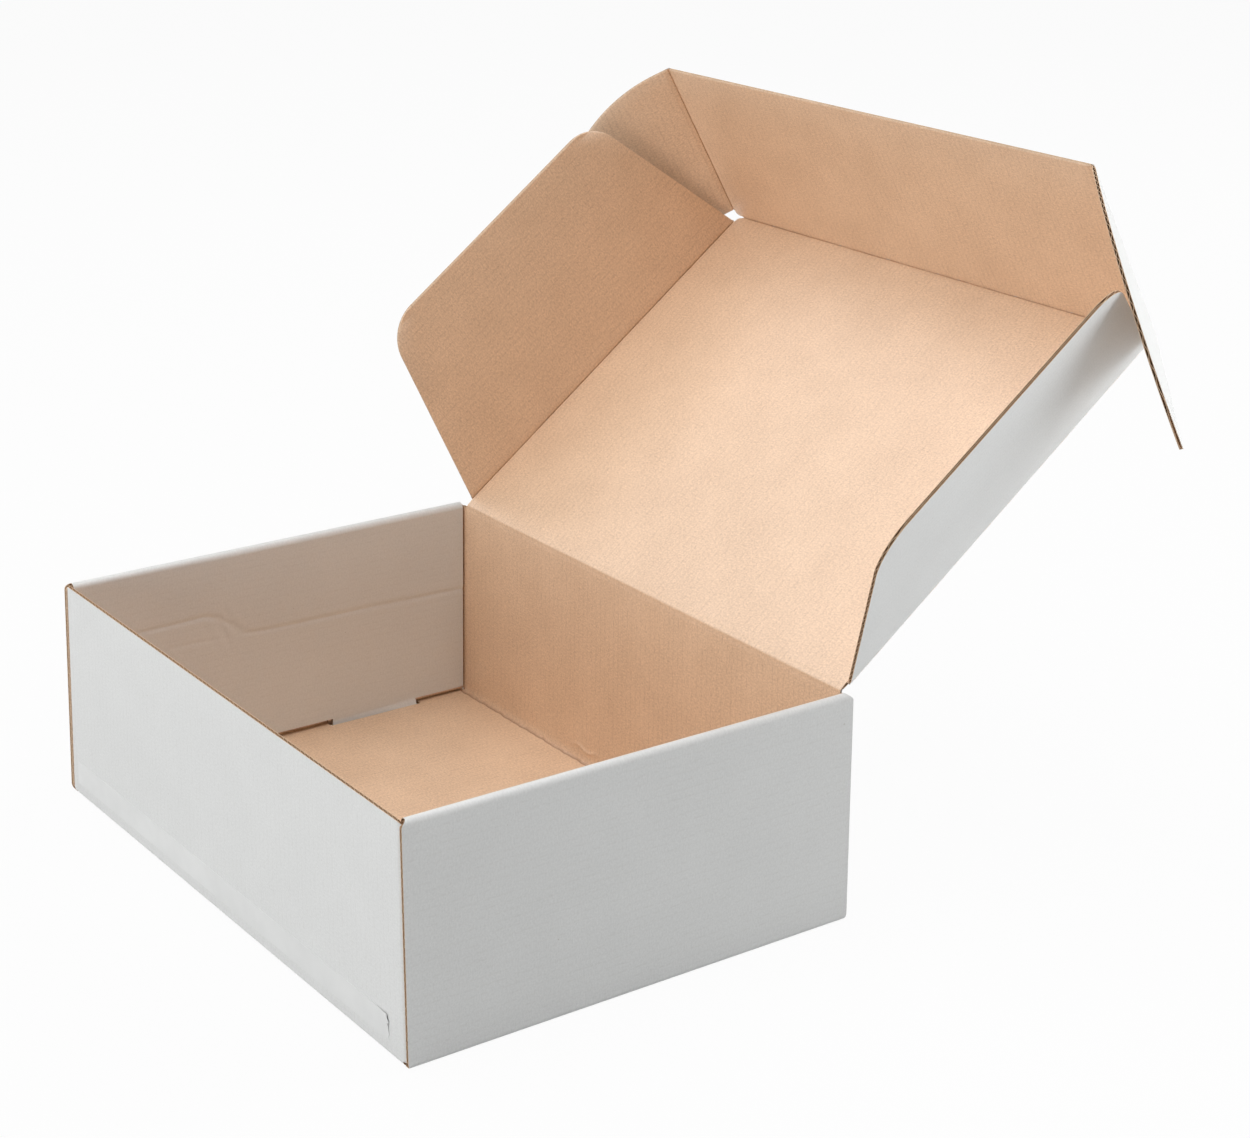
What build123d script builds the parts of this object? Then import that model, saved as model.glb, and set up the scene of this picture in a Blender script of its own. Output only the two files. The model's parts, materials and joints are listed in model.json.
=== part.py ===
"""Open mailer box of thin corrugated board, white outside and brown inside.

The tray is one sheet, folded: the side walls roll over into double walls that
trap the corner flaps of the front and back walls and lock into floor slots.
The lid, its tuck flap, side flaps and ears turn on creases.

Millimetres. X runs along the front wall, the front looks towards -Y and Z is up.
The origin is the centre of the tray's underside. The box is drawn with its lid
thrown back and its flaps standing, as it was left open.
"""
import os

from build123d import *

# Overall size of the closed tray, measured outside
box_width = 296.0
box_depth = 209.0
box_height = 100.0

# The board and its folds
board = 1.5            # thickness of the sheet
fold_radius = 0.7      # inside radius of a folded corner
ply_gap = 0.12         # air between two sheets that lie on each other
crease_gap = 0.35      # room at a crease between a rounded edge and its neighbour
relief = 3.0           # rounding and set-back of a sheet where creases meet
overrun = 5.0          # how far a cut runs past the sheet

# Tray
front_wall_drop = 0.8  # the raw top edge of the front wall lies this far under the rims
wall_end_gap = 1.0     # between a rolled inner wall and the front or back wall
inner_wall_lift = 2.5  # between the floor and the lower edge of an inner wall
corner_flap_length = 78.0
tab_length = 46.0
tab_corner = 1.2       # rounding of a tab's lower corners
tab_rise = 0.3         # the end of a tab lies this far above the underside
slot_gap = 0.25        # room beside a tab in its slot
slot_end_gap = 2.0     # room at both ends of a tab in its slot
tab_place_share = 0.245  # distance of a tab from the middle, as a share of the depth

# Lid, tuck flap, side flaps and ears, measured flat from crease to edge
lid_slack = 2.4        # the closed lid's front fold stops this far behind the front wall
rim_clearance = 0.3    # between the ears and the inner walls when the box is closed
flap_gap = 0.15        # between an ear and the side flap that it lies on
side_flap_clearance = 1.5   # between a side flap's edge and the floor when closed
tuck_flap_clearance = 8.0   # between the tuck flap's edge and the floor when closed
crease_end = 4.0       # the side flaps and ears start this far from the lid's corners
side_flap_near_inset = 21.0  # the side flaps narrow by this on the hinge side
side_flap_far_inset = 32.0   # and by this on the tuck flap side
side_flap_corner = 20.0
ear_reach = 84.0
ear_foot_fall = 2.5    # the lower edge of an ear falls by this towards its tip
ear_sweep_share = 0.922364  # radius of an ear's large outer corner, as a share of its room
ear_foot_corner = 5.0

# How far each panel is folded, in degrees
lid_rise_angle = 37.0        # lid above the horizontal, thrown back
tuck_flap_angle = 83.0       # from flat with the lid
left_flap_angle = 85.0       # from flat with the lid
right_flap_angle = 58.0
left_ear_angle = 62.0        # from flat with the tuck flap
right_ear_angle = 41.0

# Sealing strip stuck along the foot of the front wall
strip_length = 275.0
strip_width = 10.8
strip_thickness = 0.15
strip_corner = 1.0
strip_foot = 6.3       # height of its lower edge
strip_shift = -2.0     # its middle lies this far from the middle of the wall

# Sizes that follow from those above
half_width = box_width / 2
half_depth = box_depth / 2
corner_flap_face = half_width - board - ply_gap
inner_wall_face = corner_flap_face - board - ply_gap
inside_half_width = inner_wall_face - board
outer_fold = fold_radius + board
panel_edge = board / 2 + crease_gap
hinge_y = half_depth - board / 2
hinge_z = box_height - board / 2
lid_length = box_depth - 2 * board - lid_slack
tuck_flap_height = box_height - 2 * board - tuck_flap_clearance
side_flap_width = box_height - 2 * board - side_flap_clearance
tuck_half_width = inside_half_width - rim_clearance - board / 2
lid_half_width = tuck_half_width - board - flap_gap
ear_outer_edge = tuck_flap_height - crease_end + ear_foot_fall - ear_foot_corner
ear_sweep = ear_sweep_share * min(ear_reach, ear_outer_edge)


def folded_sheet(fold_points):
    """Section of a sheet folded along a line of points; the points follow its outer face."""
    with BuildSketch() as section:
        with BuildLine():
            outer = FilletPolyline(*fold_points, radius=outer_fold)
            offset(outer, amount=board, side=Side.LEFT)
        make_face()
    return section.sketch


def tray_side_section():
    """Floor and rolled side walls, seen from the front: X across, Y up."""
    top = box_height
    foot = board + inner_wall_lift
    return folded_sheet([
        (-inside_half_width, foot),
        (-inside_half_width, top),
        (-half_width, top),
        (-half_width, 0),
        (half_width, 0),
        (half_width, top),
        (inside_half_width, top),
        (inside_half_width, foot),
    ])


def tray_long_section():
    """Front wall, floor and back wall, seen from the side: X to the back, Y up."""
    return folded_sheet([
        (-half_depth, box_height - front_wall_drop),
        (-half_depth, 0),
        (half_depth, 0),
        (half_depth, hinge_z - panel_edge),
    ])


def corner_flap_section():
    """Front wall and its two corner flaps, seen from above."""
    flap_end = corner_flap_length - half_depth
    return folded_sheet([
        (-corner_flap_face, flap_end),
        (-corner_flap_face, -half_depth),
        (corner_flap_face, -half_depth),
        (corner_flap_face, flap_end),
    ])


def wall_tab(side, end):
    """Tab at the foot of an inner wall, and the floor slot that it locks into."""
    middle_y = end * tab_place_share * box_depth
    middle_x = side * (inside_half_width + board / 2)
    tab_height = inner_wall_lift + board - tab_rise
    with BuildPart() as tab:
        with BuildSketch(Plane.YZ.offset(middle_x)):
            with Locations((middle_y, tab_rise + tab_height / 2)):
                Rectangle(tab_length, tab_height)
        extrude(amount=board / 2, both=True)
        foot_corners = tab.edges().filter_by(Axis.X).group_by(Axis.Z)[0]
        fillet(foot_corners, tab_corner)
    slot = Box(board + 2 * slot_gap, tab_length + 2 * slot_end_gap, board + overrun,
               align=(Align.CENTER, Align.CENTER, Align.MAX))
    return tab.part, Pos(middle_x, middle_y, board) * slot


def make_tray():
    """The whole folded sheet of the tray, with its tabs in their slots."""
    with BuildPart() as side_walls:
        with BuildSketch(Plane.XZ):
            add(tray_side_section())
        extrude(amount=half_depth, both=True)
        with BuildSketch(Plane.YZ):
            with Locations((0, box_height / 2)):
                RectangleRounded(box_depth, box_height, relief)
        extrude(amount=half_width, both=True, mode=Mode.INTERSECT)
        # the rolled part stops short of the front and back walls
        inner_width = 2 * (half_width - board)
        inner_end = half_depth - board - wall_end_gap
        for end in (-1, 1):
            with Locations((0, end * inner_end, board)):
                toward = Align.MIN if end > 0 else Align.MAX
                Box(inner_width, board + wall_end_gap + overrun, box_height,
                    align=(Align.CENTER, toward, Align.MIN), mode=Mode.SUBTRACT)

    with BuildPart() as front_and_back:
        with BuildSketch(Plane.YZ):
            add(tray_long_section())
        extrude(amount=corner_flap_face - outer_fold, both=True)

    flap_top = box_height - board - fold_radius - ply_gap
    with BuildPart() as corner_flaps:
        with BuildSketch(Plane.XY.offset(outer_fold)):
            add(corner_flap_section())
        extrude(amount=flap_top - outer_fold)
        mirror(about=Plane.XZ)
        # the lid's crease keeps the back wall lower than its corner flaps
        with Locations((0, half_depth, hinge_z - panel_edge)):
            Box(2 * (corner_flap_face - outer_fold), 2 * board, box_height,
                align=(Align.CENTER, Align.CENTER, Align.MIN), mode=Mode.SUBTRACT)

    sheet = side_walls.part + front_and_back.part + corner_flaps.part
    for side in (-1, 1):
        for end in (-1, 1):
            tab, slot = wall_tab(side, end)
            sheet = sheet - slot + tab
    return sheet


def crease_bead(length):
    """Rounded edge of a panel along its crease, lying along X."""
    return Cylinder(board / 2, length, rotation=(0, 90, 0))


def make_lid():
    """Lid panel, flat: X across, Y from its crease to the tuck flap."""
    reach = lid_length - panel_edge
    width = 2 * (lid_half_width - panel_edge)
    with BuildPart() as lid:
        with BuildSketch():
            Rectangle(width, reach, align=(Align.CENTER, Align.MIN))
        extrude(amount=board / 2, both=True)
        front_corners = lid.edges().filter_by(Axis.Z).group_by(Axis.Y)[-1]
        fillet(front_corners, relief)
        add(crease_bead(width))
    return lid.part


def make_tuck_flap():
    """Tuck flap, flat: X across, Y from its crease to its free edge."""
    width = 2 * (tuck_half_width - panel_edge)
    with BuildPart() as flap:
        with BuildSketch():
            Rectangle(width, tuck_flap_height, align=(Align.CENTER, Align.MIN))
        extrude(amount=board / 2, both=True)
        crease_corners = flap.edges().filter_by(Axis.Z).group_by(Axis.Y)[0]
        fillet(crease_corners, relief)
        add(crease_bead(width - 2 * relief))
    return flap.part


def make_wing(crease_start, crease_stop, near_corner, far_corner, near_radius, far_radius):
    """Panel on a crease along Y, reaching out along X to two rounded corners."""
    with BuildPart() as wing:
        with BuildSketch() as outline:
            with BuildLine():
                Polyline((0, crease_start), near_corner, far_corner, (0, crease_stop), close=True)
            make_face()
            outer_corners = outline.vertices().group_by(Axis.X)[-1].sort_by(Axis.Y)
            fillet(outer_corners[0], near_radius)
            far_vertex = outline.vertices().sort_by_distance(far_corner)[0]
            fillet(far_vertex, far_radius)
        extrude(amount=board / 2, both=True)
        with Locations((0, (crease_start + crease_stop) / 2)):
            Cylinder(board / 2, crease_stop - crease_start, rotation=(90, 0, 0))
    return wing.part


def make_side_flap():
    """Right side flap of the lid, flat."""
    start = crease_end
    stop = lid_length - crease_end
    near = (side_flap_width, start + side_flap_near_inset)
    far = (side_flap_width, stop - side_flap_far_inset)
    return make_wing(start, stop, near, far, side_flap_corner, side_flap_corner)


def make_ear():
    """Right ear of the tuck flap, flat."""
    near = (ear_reach, crease_end - ear_foot_fall)
    far = (ear_reach, tuck_flap_height)
    return make_wing(crease_end, tuck_flap_height, near, far, ear_foot_corner, ear_sweep)


def on_crease(carrier, half, side, angle):
    """Place of a wing that is folded up by an angle at a side of the panel that carries it."""
    return carrier * Pos(side * half, 0, 0) * Rot(0, -side * angle, 0)


def make_strip():
    """Sealing strip on the outside of the front wall."""
    with BuildPart() as strip:
        with BuildSketch(Plane.XZ.offset(half_depth)):
            with Locations((strip_shift, strip_foot + strip_width / 2)):
                RectangleRounded(strip_length, strip_width, strip_corner)
        extrude(amount=strip_thickness)
    return strip.part


lid_place = Pos(0, hinge_y, hinge_z) * Rot(lid_rise_angle, 0, 0)
tuck_place = lid_place * Pos(0, lid_length, 0) * Rot(tuck_flap_angle, 0, 0)
right_flap = make_side_flap()
right_ear = make_ear()
left_flap = right_flap.mirror(Plane.YZ)
left_ear = right_ear.mirror(Plane.YZ)

nodes = {
    "tray": make_tray(),
    "lid_panel": lid_place * make_lid(),
    "tuck_flap": tuck_place * make_tuck_flap(),
    "left_side_flap": on_crease(lid_place, lid_half_width, -1, left_flap_angle) * left_flap,
    "right_side_flap": on_crease(lid_place, lid_half_width, 1, right_flap_angle) * right_flap,
    "left_ear": on_crease(tuck_place, tuck_half_width, -1, left_ear_angle) * left_ear,
    "right_ear": on_crease(tuck_place, tuck_half_width, 1, right_ear_angle) * right_ear,
    "tape_strip": make_strip(),
}

os.makedirs("parts", exist_ok=True)
for name, solid in nodes.items():
    export_step(solid, f"parts/{name}.step")
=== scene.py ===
# %% [markdown]
# # An open mailer box of corrugated board
# The object is a mailer: one die-cut sheet of thin corrugated board, white outside and
# brown inside, folded into a tray with a hinged lid. The solids of the frame give its size,
# its folds and its creases. This lesson dresses them as what they are: two papers with a
# wavy third one glued between them.

import json
import math

import bmesh
import bpy
import numpy as np
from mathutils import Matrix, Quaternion, Vector


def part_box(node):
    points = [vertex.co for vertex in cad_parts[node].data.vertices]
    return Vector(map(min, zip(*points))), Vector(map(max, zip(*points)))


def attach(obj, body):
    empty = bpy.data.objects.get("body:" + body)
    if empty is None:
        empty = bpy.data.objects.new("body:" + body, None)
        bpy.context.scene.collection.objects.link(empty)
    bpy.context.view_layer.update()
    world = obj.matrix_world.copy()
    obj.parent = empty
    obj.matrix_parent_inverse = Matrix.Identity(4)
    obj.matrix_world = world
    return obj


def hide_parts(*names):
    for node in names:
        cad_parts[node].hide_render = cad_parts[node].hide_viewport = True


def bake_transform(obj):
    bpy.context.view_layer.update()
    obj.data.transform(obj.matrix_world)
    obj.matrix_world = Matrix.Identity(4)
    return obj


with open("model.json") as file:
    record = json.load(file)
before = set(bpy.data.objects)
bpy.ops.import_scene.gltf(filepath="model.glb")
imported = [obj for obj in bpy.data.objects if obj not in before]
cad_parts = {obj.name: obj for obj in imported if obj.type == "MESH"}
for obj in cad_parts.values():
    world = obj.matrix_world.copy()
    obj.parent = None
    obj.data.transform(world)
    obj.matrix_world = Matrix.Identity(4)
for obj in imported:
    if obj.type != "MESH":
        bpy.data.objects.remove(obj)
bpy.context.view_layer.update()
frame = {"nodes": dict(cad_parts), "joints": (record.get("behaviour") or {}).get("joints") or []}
mm = 0.001
print("solids in the frame:", sorted(frame["nodes"]))

# %% [markdown]
# ## The camera
# The view comes first, because it decides how fine each edge has to be. It could be set by
# eye, but the corners of the tray and the lid fix it better: place, aim, lens and a slight
# roll were fitted to them, so nothing has to be moved later to match.

# %% Camera
camera_place = Vector((0.8556, -0.5195, 0.4940))
camera_aim = Vector((0.0932, 0.0299, 0.1519))
camera_roll = math.radians(0.665)
camera_lens = 73.68
sensor_width = 36.0


def add_object(name, data):
    """A new object in the scene, from a mesh, a lamp or a camera."""
    made = bpy.data.objects.new(name, data)
    bpy.context.scene.collection.objects.link(made)
    return made


def aim_at(made, place, aim, roll=0.0):
    """Put a camera or a lamp at its place and turn it to its aim."""
    made.location = place
    made.rotation_mode = "QUATERNION"
    look = (Vector(aim) - Vector(place)).to_track_quat("-Z", "Y")
    made.rotation_quaternion = look @ Quaternion((0, 0, 1), roll)


camera = add_object("camera", bpy.data.cameras.new("camera"))
camera.data.lens = camera_lens
camera.data.sensor_width = sensor_width
aim_at(camera, camera_place, camera_aim, camera_roll)
bpy.context.scene.camera = camera
print("camera stands", round((camera_aim - camera_place).length, 2), "m from its aim")

# %% [markdown]
# ## A short way to write node trees
# Geometry trees and shaders are both nodes with links. Written out one by one they hide the
# idea, so a small bench adds a node, takes plain values or sockets, and hands back an output.


# %% Node bench
class NodeBench:
    """Adds nodes to one tree. Inputs are given by name or number, as values or as sockets."""

    def __init__(self, tree):
        self.tree = tree

    def join(self, value, socket):
        """Set a plain value on a socket, or link another socket to it."""
        if isinstance(value, bpy.types.NodeSocket):
            self.tree.links.new(value, socket)
        else:
            socket.default_value = value

    def node(self, kind, inputs=None, **settings):
        made = self.tree.nodes.new(kind)
        for name, value in settings.items():
            setattr(made, name, value)
        for name, value in (inputs or {}).items():
            self.join(value, made.inputs[name])
        return made

    def add(self, kind, inputs=None, output=0, **settings):
        return self.node(kind, inputs, **settings).outputs[output]

    def math(self, operation, first, second=0.0):
        return self.add("ShaderNodeMath", {0: first, 1: second}, operation=operation)

    def blend(self, share, first, second):
        """Mix of two colours."""
        mix = self.node("ShaderNodeMix", data_type="RGBA")
        for value, number in ((share, 0), (first, 6), (second, 7)):
            self.join(value, mix.inputs[number])
        return mix.outputs[2]

    def ramp(self, value, low, high, start=0.0, end=1.0):
        """Value stretched from low..high to start..end, and kept in that range."""
        ends = {1: low, 2: high, 3: start, 4: end}
        return self.add("ShaderNodeMapRange", {0: value, **ends})

    def wave(self, place, length):
        """Sine wave of a length, along a place."""
        turns = self.math("DIVIDE", place, length)
        return self.math("SINE", self.math("MULTIPLY", turns, math.tau))

    def noise(self, place, scale, detail, roughness=0.5):
        look = {"Vector": place, "Scale": scale, "Detail": detail, "Roughness": roughness}
        return self.add("ShaderNodeTexNoise", look)

    def stretched_noise(self, place, across, along, detail, roughness):
        """Noise with grains of a size across the flutes and along them."""
        size = self.add("ShaderNodeCombineXYZ", {0: across, 1: along, 2: 1.0})
        stretched = self.add("ShaderNodeVectorMath", {0: place, 1: size}, operation="DIVIDE")
        return self.noise(stretched, 1.0, detail, roughness)

    def blank(self):
        """The place in the flat blank."""
        return self.add("ShaderNodeAttribute", output="Vector", attribute_name="sheet")


def socket_kind(value):
    if isinstance(value, bpy.types.Material):
        return "NodeSocketMaterial"
    return "NodeSocketGeometry" if value is None else "NodeSocketFloat"


def new_group(kind, name, inputs, outputs):
    """A node group, its bench and its ends. A socket without a value carries geometry."""
    group = bpy.data.node_groups.new(name, kind)
    for direction, sockets in (("INPUT", inputs), ("OUTPUT", outputs)):
        for label, value in sockets.items():
            made = group.interface.new_socket(label, in_out=direction, socket_type=socket_kind(value))
            if value is not None:
                made.default_value = value
    ends = group.nodes.new("NodeGroupInput").outputs, group.nodes.new("NodeGroupOutput").inputs
    return group, NodeBench(group), *ends


def new_material(name):
    """A material with the bench of its tree and its main shader."""
    material = bpy.data.materials.new(name)
    material.use_nodes = True
    tree = material.node_tree
    return material, NodeBench(tree), tree.nodes["Principled BSDF"]


def tone(red, green, blue):
    """A colour in screen values from 0 to 255, as the linear colour that a shader reads."""
    def linear(screen):
        return ((screen / 255 + 0.055) / 1.055) ** 2.4
    return (linear(red), linear(green), linear(blue), 1.0)


print("bench ready")

# %% [markdown]
# ## Floor and light
# The box stands on a plain white table in a white room. Soft lamps hang round it. The one at
# the upper left makes the smooth brown paper of the lid glare, so the lid is pale; others hang
# overhead, before the open lid and behind. Two lamps close by stand in for the light that a
# white table throws back, which brightens the near left and the far right of the box.
# The table and the room look white to the camera by their own colour, so the lamps stay at a
# plain level, and the table still takes the box's shadow.


# %% Room, table and lamps
room_light = 0.02
table_size = 8.0
table_drop = 0.15 * mm
table_white_share = 0.95
table_grey = tone(208, 208, 208)


def seen_directly(bench):
    """1 for rays that come straight from the camera, or by way of gloss or glass."""
    path = bench.node("ShaderNodeLightPath").outputs
    glossy = bench.math("MAXIMUM", path["Is Camera Ray"], path["Is Glossy Ray"])
    return bench.math("MAXIMUM", glossy, path["Is Transmission Ray"])


def white_room():
    world = bpy.data.worlds.new("white room")
    world.use_nodes = True
    bench = NodeBench(world.node_tree)
    background = world.node_tree.nodes["Background"]
    background.inputs["Color"].default_value = (1.0, 1.0, 1.0, 1.0)
    strength = bench.ramp(seen_directly(bench), 0.0, 1.0, room_light, 1.0)
    bench.join(strength, background.inputs["Strength"])
    bpy.context.scene.world = world


def white_table():
    half = table_size / 2
    corners = [(-half, -half), (half, -half), (half, half), (-half, half)]
    mesh = bpy.data.meshes.new("table")
    mesh.from_pydata([(x, y, -table_drop) for x, y in corners], [], [(0, 1, 2, 3)])
    table = add_object("table", mesh)
    finish, bench, plain = new_material("white table")
    plain.inputs["Base Color"].default_value = table_grey
    plain.inputs["Roughness"].default_value = 1.0
    white = bench.add("ShaderNodeEmission", {"Strength": 1.0})
    share = bench.math("MULTIPLY", seen_directly(bench), table_white_share)
    mix = bench.add("ShaderNodeMixShader", {0: share, 1: plain.outputs[0], 2: white})
    bench.join(mix, finish.node_tree.nodes["Material Output"].inputs["Surface"])
    mesh.materials.append(finish)


def soft_lamp(name, place, aim, size, power):
    lamp = add_object(name, bpy.data.lights.new(name, "AREA"))
    lamp.data.shape = "DISK"
    lamp.data.size = size
    lamp.data.energy = power
    lamp.visible_camera = False
    aim_at(lamp, place, aim)


box_middle = (0.0, 0.05, 0.12)
lamps = {
    "upper left lamp": ((-1.2, -0.5, 2.2), box_middle, 1.8, 19.5),
    "overhead lamp": ((0.0, 0.05, 2.52), box_middle, 1.8, 12.5),
    "upper right lamp": ((1.3, -0.1, 2.1), box_middle, 1.8, 6.0),
    "back lamp": ((0.24, 1.85, 1.68), box_middle, 1.8, 30.0),
    "lid lamp": ((0.1, -1.1, 1.6), (0.0, 0.18, 0.16), 1.2, 9.6),
    "front lamp": ((0.2, -1.6, 0.2), (0.0, 0.35, 0.3), 1.0, 10.6),
    "near left lamp": ((-0.5, -0.62, 0.3), (-0.06, -0.1, 0.07), 0.4, 0.5),
    "far right lamp": ((0.66, 0.7, 0.14), (0.16, 0.1, 0.1), 0.9, 4.0),
}
white_room()
white_table()
for name, settings in lamps.items():
    soft_lamp(name, *settings)
bpy.context.scene.view_settings.view_transform = "Standard"

# %% [markdown]
# ## Paper, in two shader groups
# Every face of the box is paper, so the effects that papers share are node groups, built once:
# a grain of clouds, fibres and specks, and the faint lines where the flutes press through, whose
# darkening is painted shade.
# Both read the attribute `sheet`, the place in the flat blank before it was folded. An image
# could show the same, but this pattern has no size limit and runs on over every fold.


# %% Grain and flute lines as node groups
flute_pitch = 3.47 * mm
patch_range = (0.3, 0.7)
fibre_range = (0.28, 0.72)
speck_range = (0.6, 1.2)
crest_range = (0.55, 0.97)
dash_range = (0.42, 0.62)


def paper_grain_group():
    sizes = {"Cloud Size": 30 * mm, "Mottle Size": 0.9 * mm, "Fibre Length": 2.2 * mm,
             "Fibre Width": 0.5 * mm, "Speck Spacing": 9 * mm, "Speck Size": 0.045}
    results = dict.fromkeys(("Cloud", "Mottle", "Fibre", "Speck"), 0.0)
    group, bench, given, wanted = new_group("ShaderNodeTree", "paper grain", sizes, results)
    blank = bench.blank()
    for patch in ("Cloud", "Mottle"):
        scale = bench.math("DIVIDE", 1.0, given[patch + " Size"])
        patches = bench.noise(blank, scale, detail=3.0, roughness=0.6)
        bench.join(bench.ramp(patches, *patch_range), wanted[patch])
    fibre = bench.stretched_noise(blank, given["Fibre Length"], given["Fibre Width"],
                                  detail=3.0, roughness=0.65)
    bench.join(bench.ramp(fibre, *fibre_range), wanted["Fibre"])

    speck_scale = bench.math("DIVIDE", 1.0, given["Speck Spacing"])
    cells = bench.node("ShaderNodeTexVoronoi", {"Vector": blank, "Scale": speck_scale})
    chance = bench.add("ShaderNodeSeparateColor", {0: cells.outputs["Color"]})
    size = bench.math("MULTIPLY", given["Speck Size"], chance)
    far = bench.math("DIVIDE", cells.outputs["Distance"], size)
    bench.join(bench.ramp(far, *speck_range, 1.0, 0.0), wanted["Speck"])
    return group


# The lines darken the colour as painted shade of the flutes' ripple; paper() also bumps the surface with
# them.
def flute_lines_group():
    sizes = {"Pitch": flute_pitch, "Waver": 1.1 * mm, "Waver Length": 14 * mm,
             "Dash Length": 4 * mm, "Dash Width": 1.2 * mm}
    group, bench, given, wanted = new_group("ShaderNodeTree", "flute lines", sizes, {"Line": 0.0})
    blank = bench.blank()
    across = bench.add("ShaderNodeSeparateXYZ", {0: blank})
    scale = bench.math("DIVIDE", 1.0, given["Waver Length"])
    drift = bench.math("SUBTRACT", bench.noise(blank, scale, detail=3.0), 0.5)
    shift = bench.math("MULTIPLY", drift, given["Waver"])
    wave = bench.wave(bench.math("ADD", across, shift), given["Pitch"])
    crest = bench.ramp(wave, *crest_range)
    dash = bench.stretched_noise(blank, given["Dash Width"], given["Dash Length"],
                                 detail=2.0, roughness=0.6)
    bench.join(bench.math("MULTIPLY", crest, bench.ramp(dash, *dash_range)), wanted["Line"])
    return group


paper_grain = paper_grain_group()
flute_lines = flute_lines_group()
print("shader groups:", paper_grain.name, "and", flute_lines.name)

# %% [markdown]
# ## The finishes
# Four papers make the board: the white outer liner, the brown inner liner, the fluted paper
# between them and the raw cut edge, which is paler because it shows the paper's inside. They
# are one recipe with other tones. Constant values sit on the shader itself.


# %% Paper finishes
grain_shares = {"Cloud": 0.15, "Mottle": 0.5, "Fibre": 0.35}
speck_share = 0.6
# Strength of the painted shade along the groove at the foot of the back fold.
painted_groove_shade_share = 0.9
grain_relief = {"Strength": 0.35, "Distance": 0.08 * mm}


def paper(name, pale, deep, dark, roughness, index, lines=0.0):
    """A paper: two tones in a fine grain; specks, flute lines and painted groove shade of a dark third
    one.
    """
    material, bench, shader = new_material(name)
    grain = bench.node("ShaderNodeGroup", node_tree=paper_grain).outputs
    line = bench.add("ShaderNodeGroup", node_tree=flute_lines)

    def times_plus(value, factor, rest):
        return bench.add("ShaderNodeMath", {0: value, 1: factor, 2: rest}, operation="MULTIPLY_ADD")

    share = 0.0
    for part, weight in grain_shares.items():
        share = times_plus(grain[part], weight, share)
    colour = bench.blend(share, deep, pale)
    # Painted shade: the groove at the foot of the back fold is darkened in colour.
    bruise = bench.add("ShaderNodeAttribute", output="Fac", attribute_name="bruise")
    # The flute lines' darkening is painted shade; the specks are the paper's own.
    for mark, weight in ((line, lines), (grain["Speck"], speck_share), (bruise, painted_groove_shade_share)):
        colour = bench.blend(bench.math("MULTIPLY", mark, weight), colour, dark)
    bench.join(colour, shader.inputs["Base Color"])

    bench.join(bench.ramp(grain["Fibre"], 0.0, 1.0, *roughness), shader.inputs["Roughness"])
    height = times_plus(line, -lines, share)
    bump = bench.add("ShaderNodeBump", {**grain_relief, "Height": height})
    bench.join(bump, shader.inputs["Normal"])
    shader.inputs["IOR"].default_value = index
    return material


white_liner = paper("white liner", tone(231, 232, 231), tone(212, 213, 212), tone(184, 180, 173),
                    (0.55, 0.7), 1.4, 0.1)
kraft_liner = paper("kraft liner", tone(255, 223, 191), tone(189, 154, 122), tone(160, 116, 82),
                    (0.4, 0.52), 1.9, 0.2)
fluted_paper = paper("fluted paper", tone(186, 148, 112), tone(160, 120, 86), tone(120, 84, 58),
                     (0.8, 0.95), 1.3)
cut_edge = paper("cut edge", tone(230, 208, 182), tone(194, 156, 120), tone(130, 92, 64),
                 (0.85, 1.0), 1.3)
print("finishes:", [m.name for m in (white_liner, kraft_liner, fluted_paper, cut_edge)])

# %% [markdown]
# ## The flat blank
# The box is easiest to understand unfolded. In the blank, `a` runs across the flutes and `b`
# along them, with zero in the middle of the lid's crease. Behind the crease lie the back wall,
# the floor and the front wall, and before it the lid and the tuck flap; the side walls and
# flaps hang on at both sides. Every panel below is drawn in these coordinates and then folded
# to its place, so flutes and grain run from panel to panel as they do on the real sheet.

# %% Sizes of the sheet
board = 1.5 * mm
fold_inside = 0.7 * mm
fold_outside = fold_inside + board
fold_middle = fold_inside + board / 2
quarter_fold = fold_middle * math.pi / 2
ply_gap = 0.12 * mm
crease_room = 1.1 * mm
relief = 3.0 * mm

joints = {joint["name"]: joint for joint in frame["joints"]}


def crease_place(name):
    return np.array(joints[name]["pos_m"], float)


def crease_direction(name):
    return np.array(joints[name]["axis"], float)


half_width, half_depth, box_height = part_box("tray")[1]
hinge = crease_place("lid_crease")
tuck_hinge = crease_place("tuck_flap_crease")
lid_length = np.linalg.norm(tuck_hinge - hinge)
lid_half = crease_place("right_side_flap_crease")[0]
tuck_half = crease_place("right_ear_crease")[0]
print("lid", round(lid_length / mm, 1), "mm long,", round(2 * lid_half / mm, 1), "mm wide")

# %% [markdown]
# ## Corrugated board as a geometry tree
# Real board is three papers. A solid slab with a striped texture would pass from afar, but
# the cut edges show open flutes, so the board is built: a tree takes the middle layer of a
# panel and raises three thin plates from it, a flat liner on each side and a sine wave
# between. It works on any panel, flat or folded, because it moves points only along the
# attribute `inward`. Near a crease, `crush` squeezes the three papers together.

# %% Board tree
board_sizes = {"Thickness": board, "Liner": 0.26 * mm, "Medium": 0.2 * mm,
               "Pitch": flute_pitch, "Washboard": 0.008 * mm}
board_finishes = {"White": white_liner, "Kraft": kraft_liner,
                  "Fluted": fluted_paper, "Cut": cut_edge}
weld_distance = 0.001 * mm
sharp_angle = math.radians(50)


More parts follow.
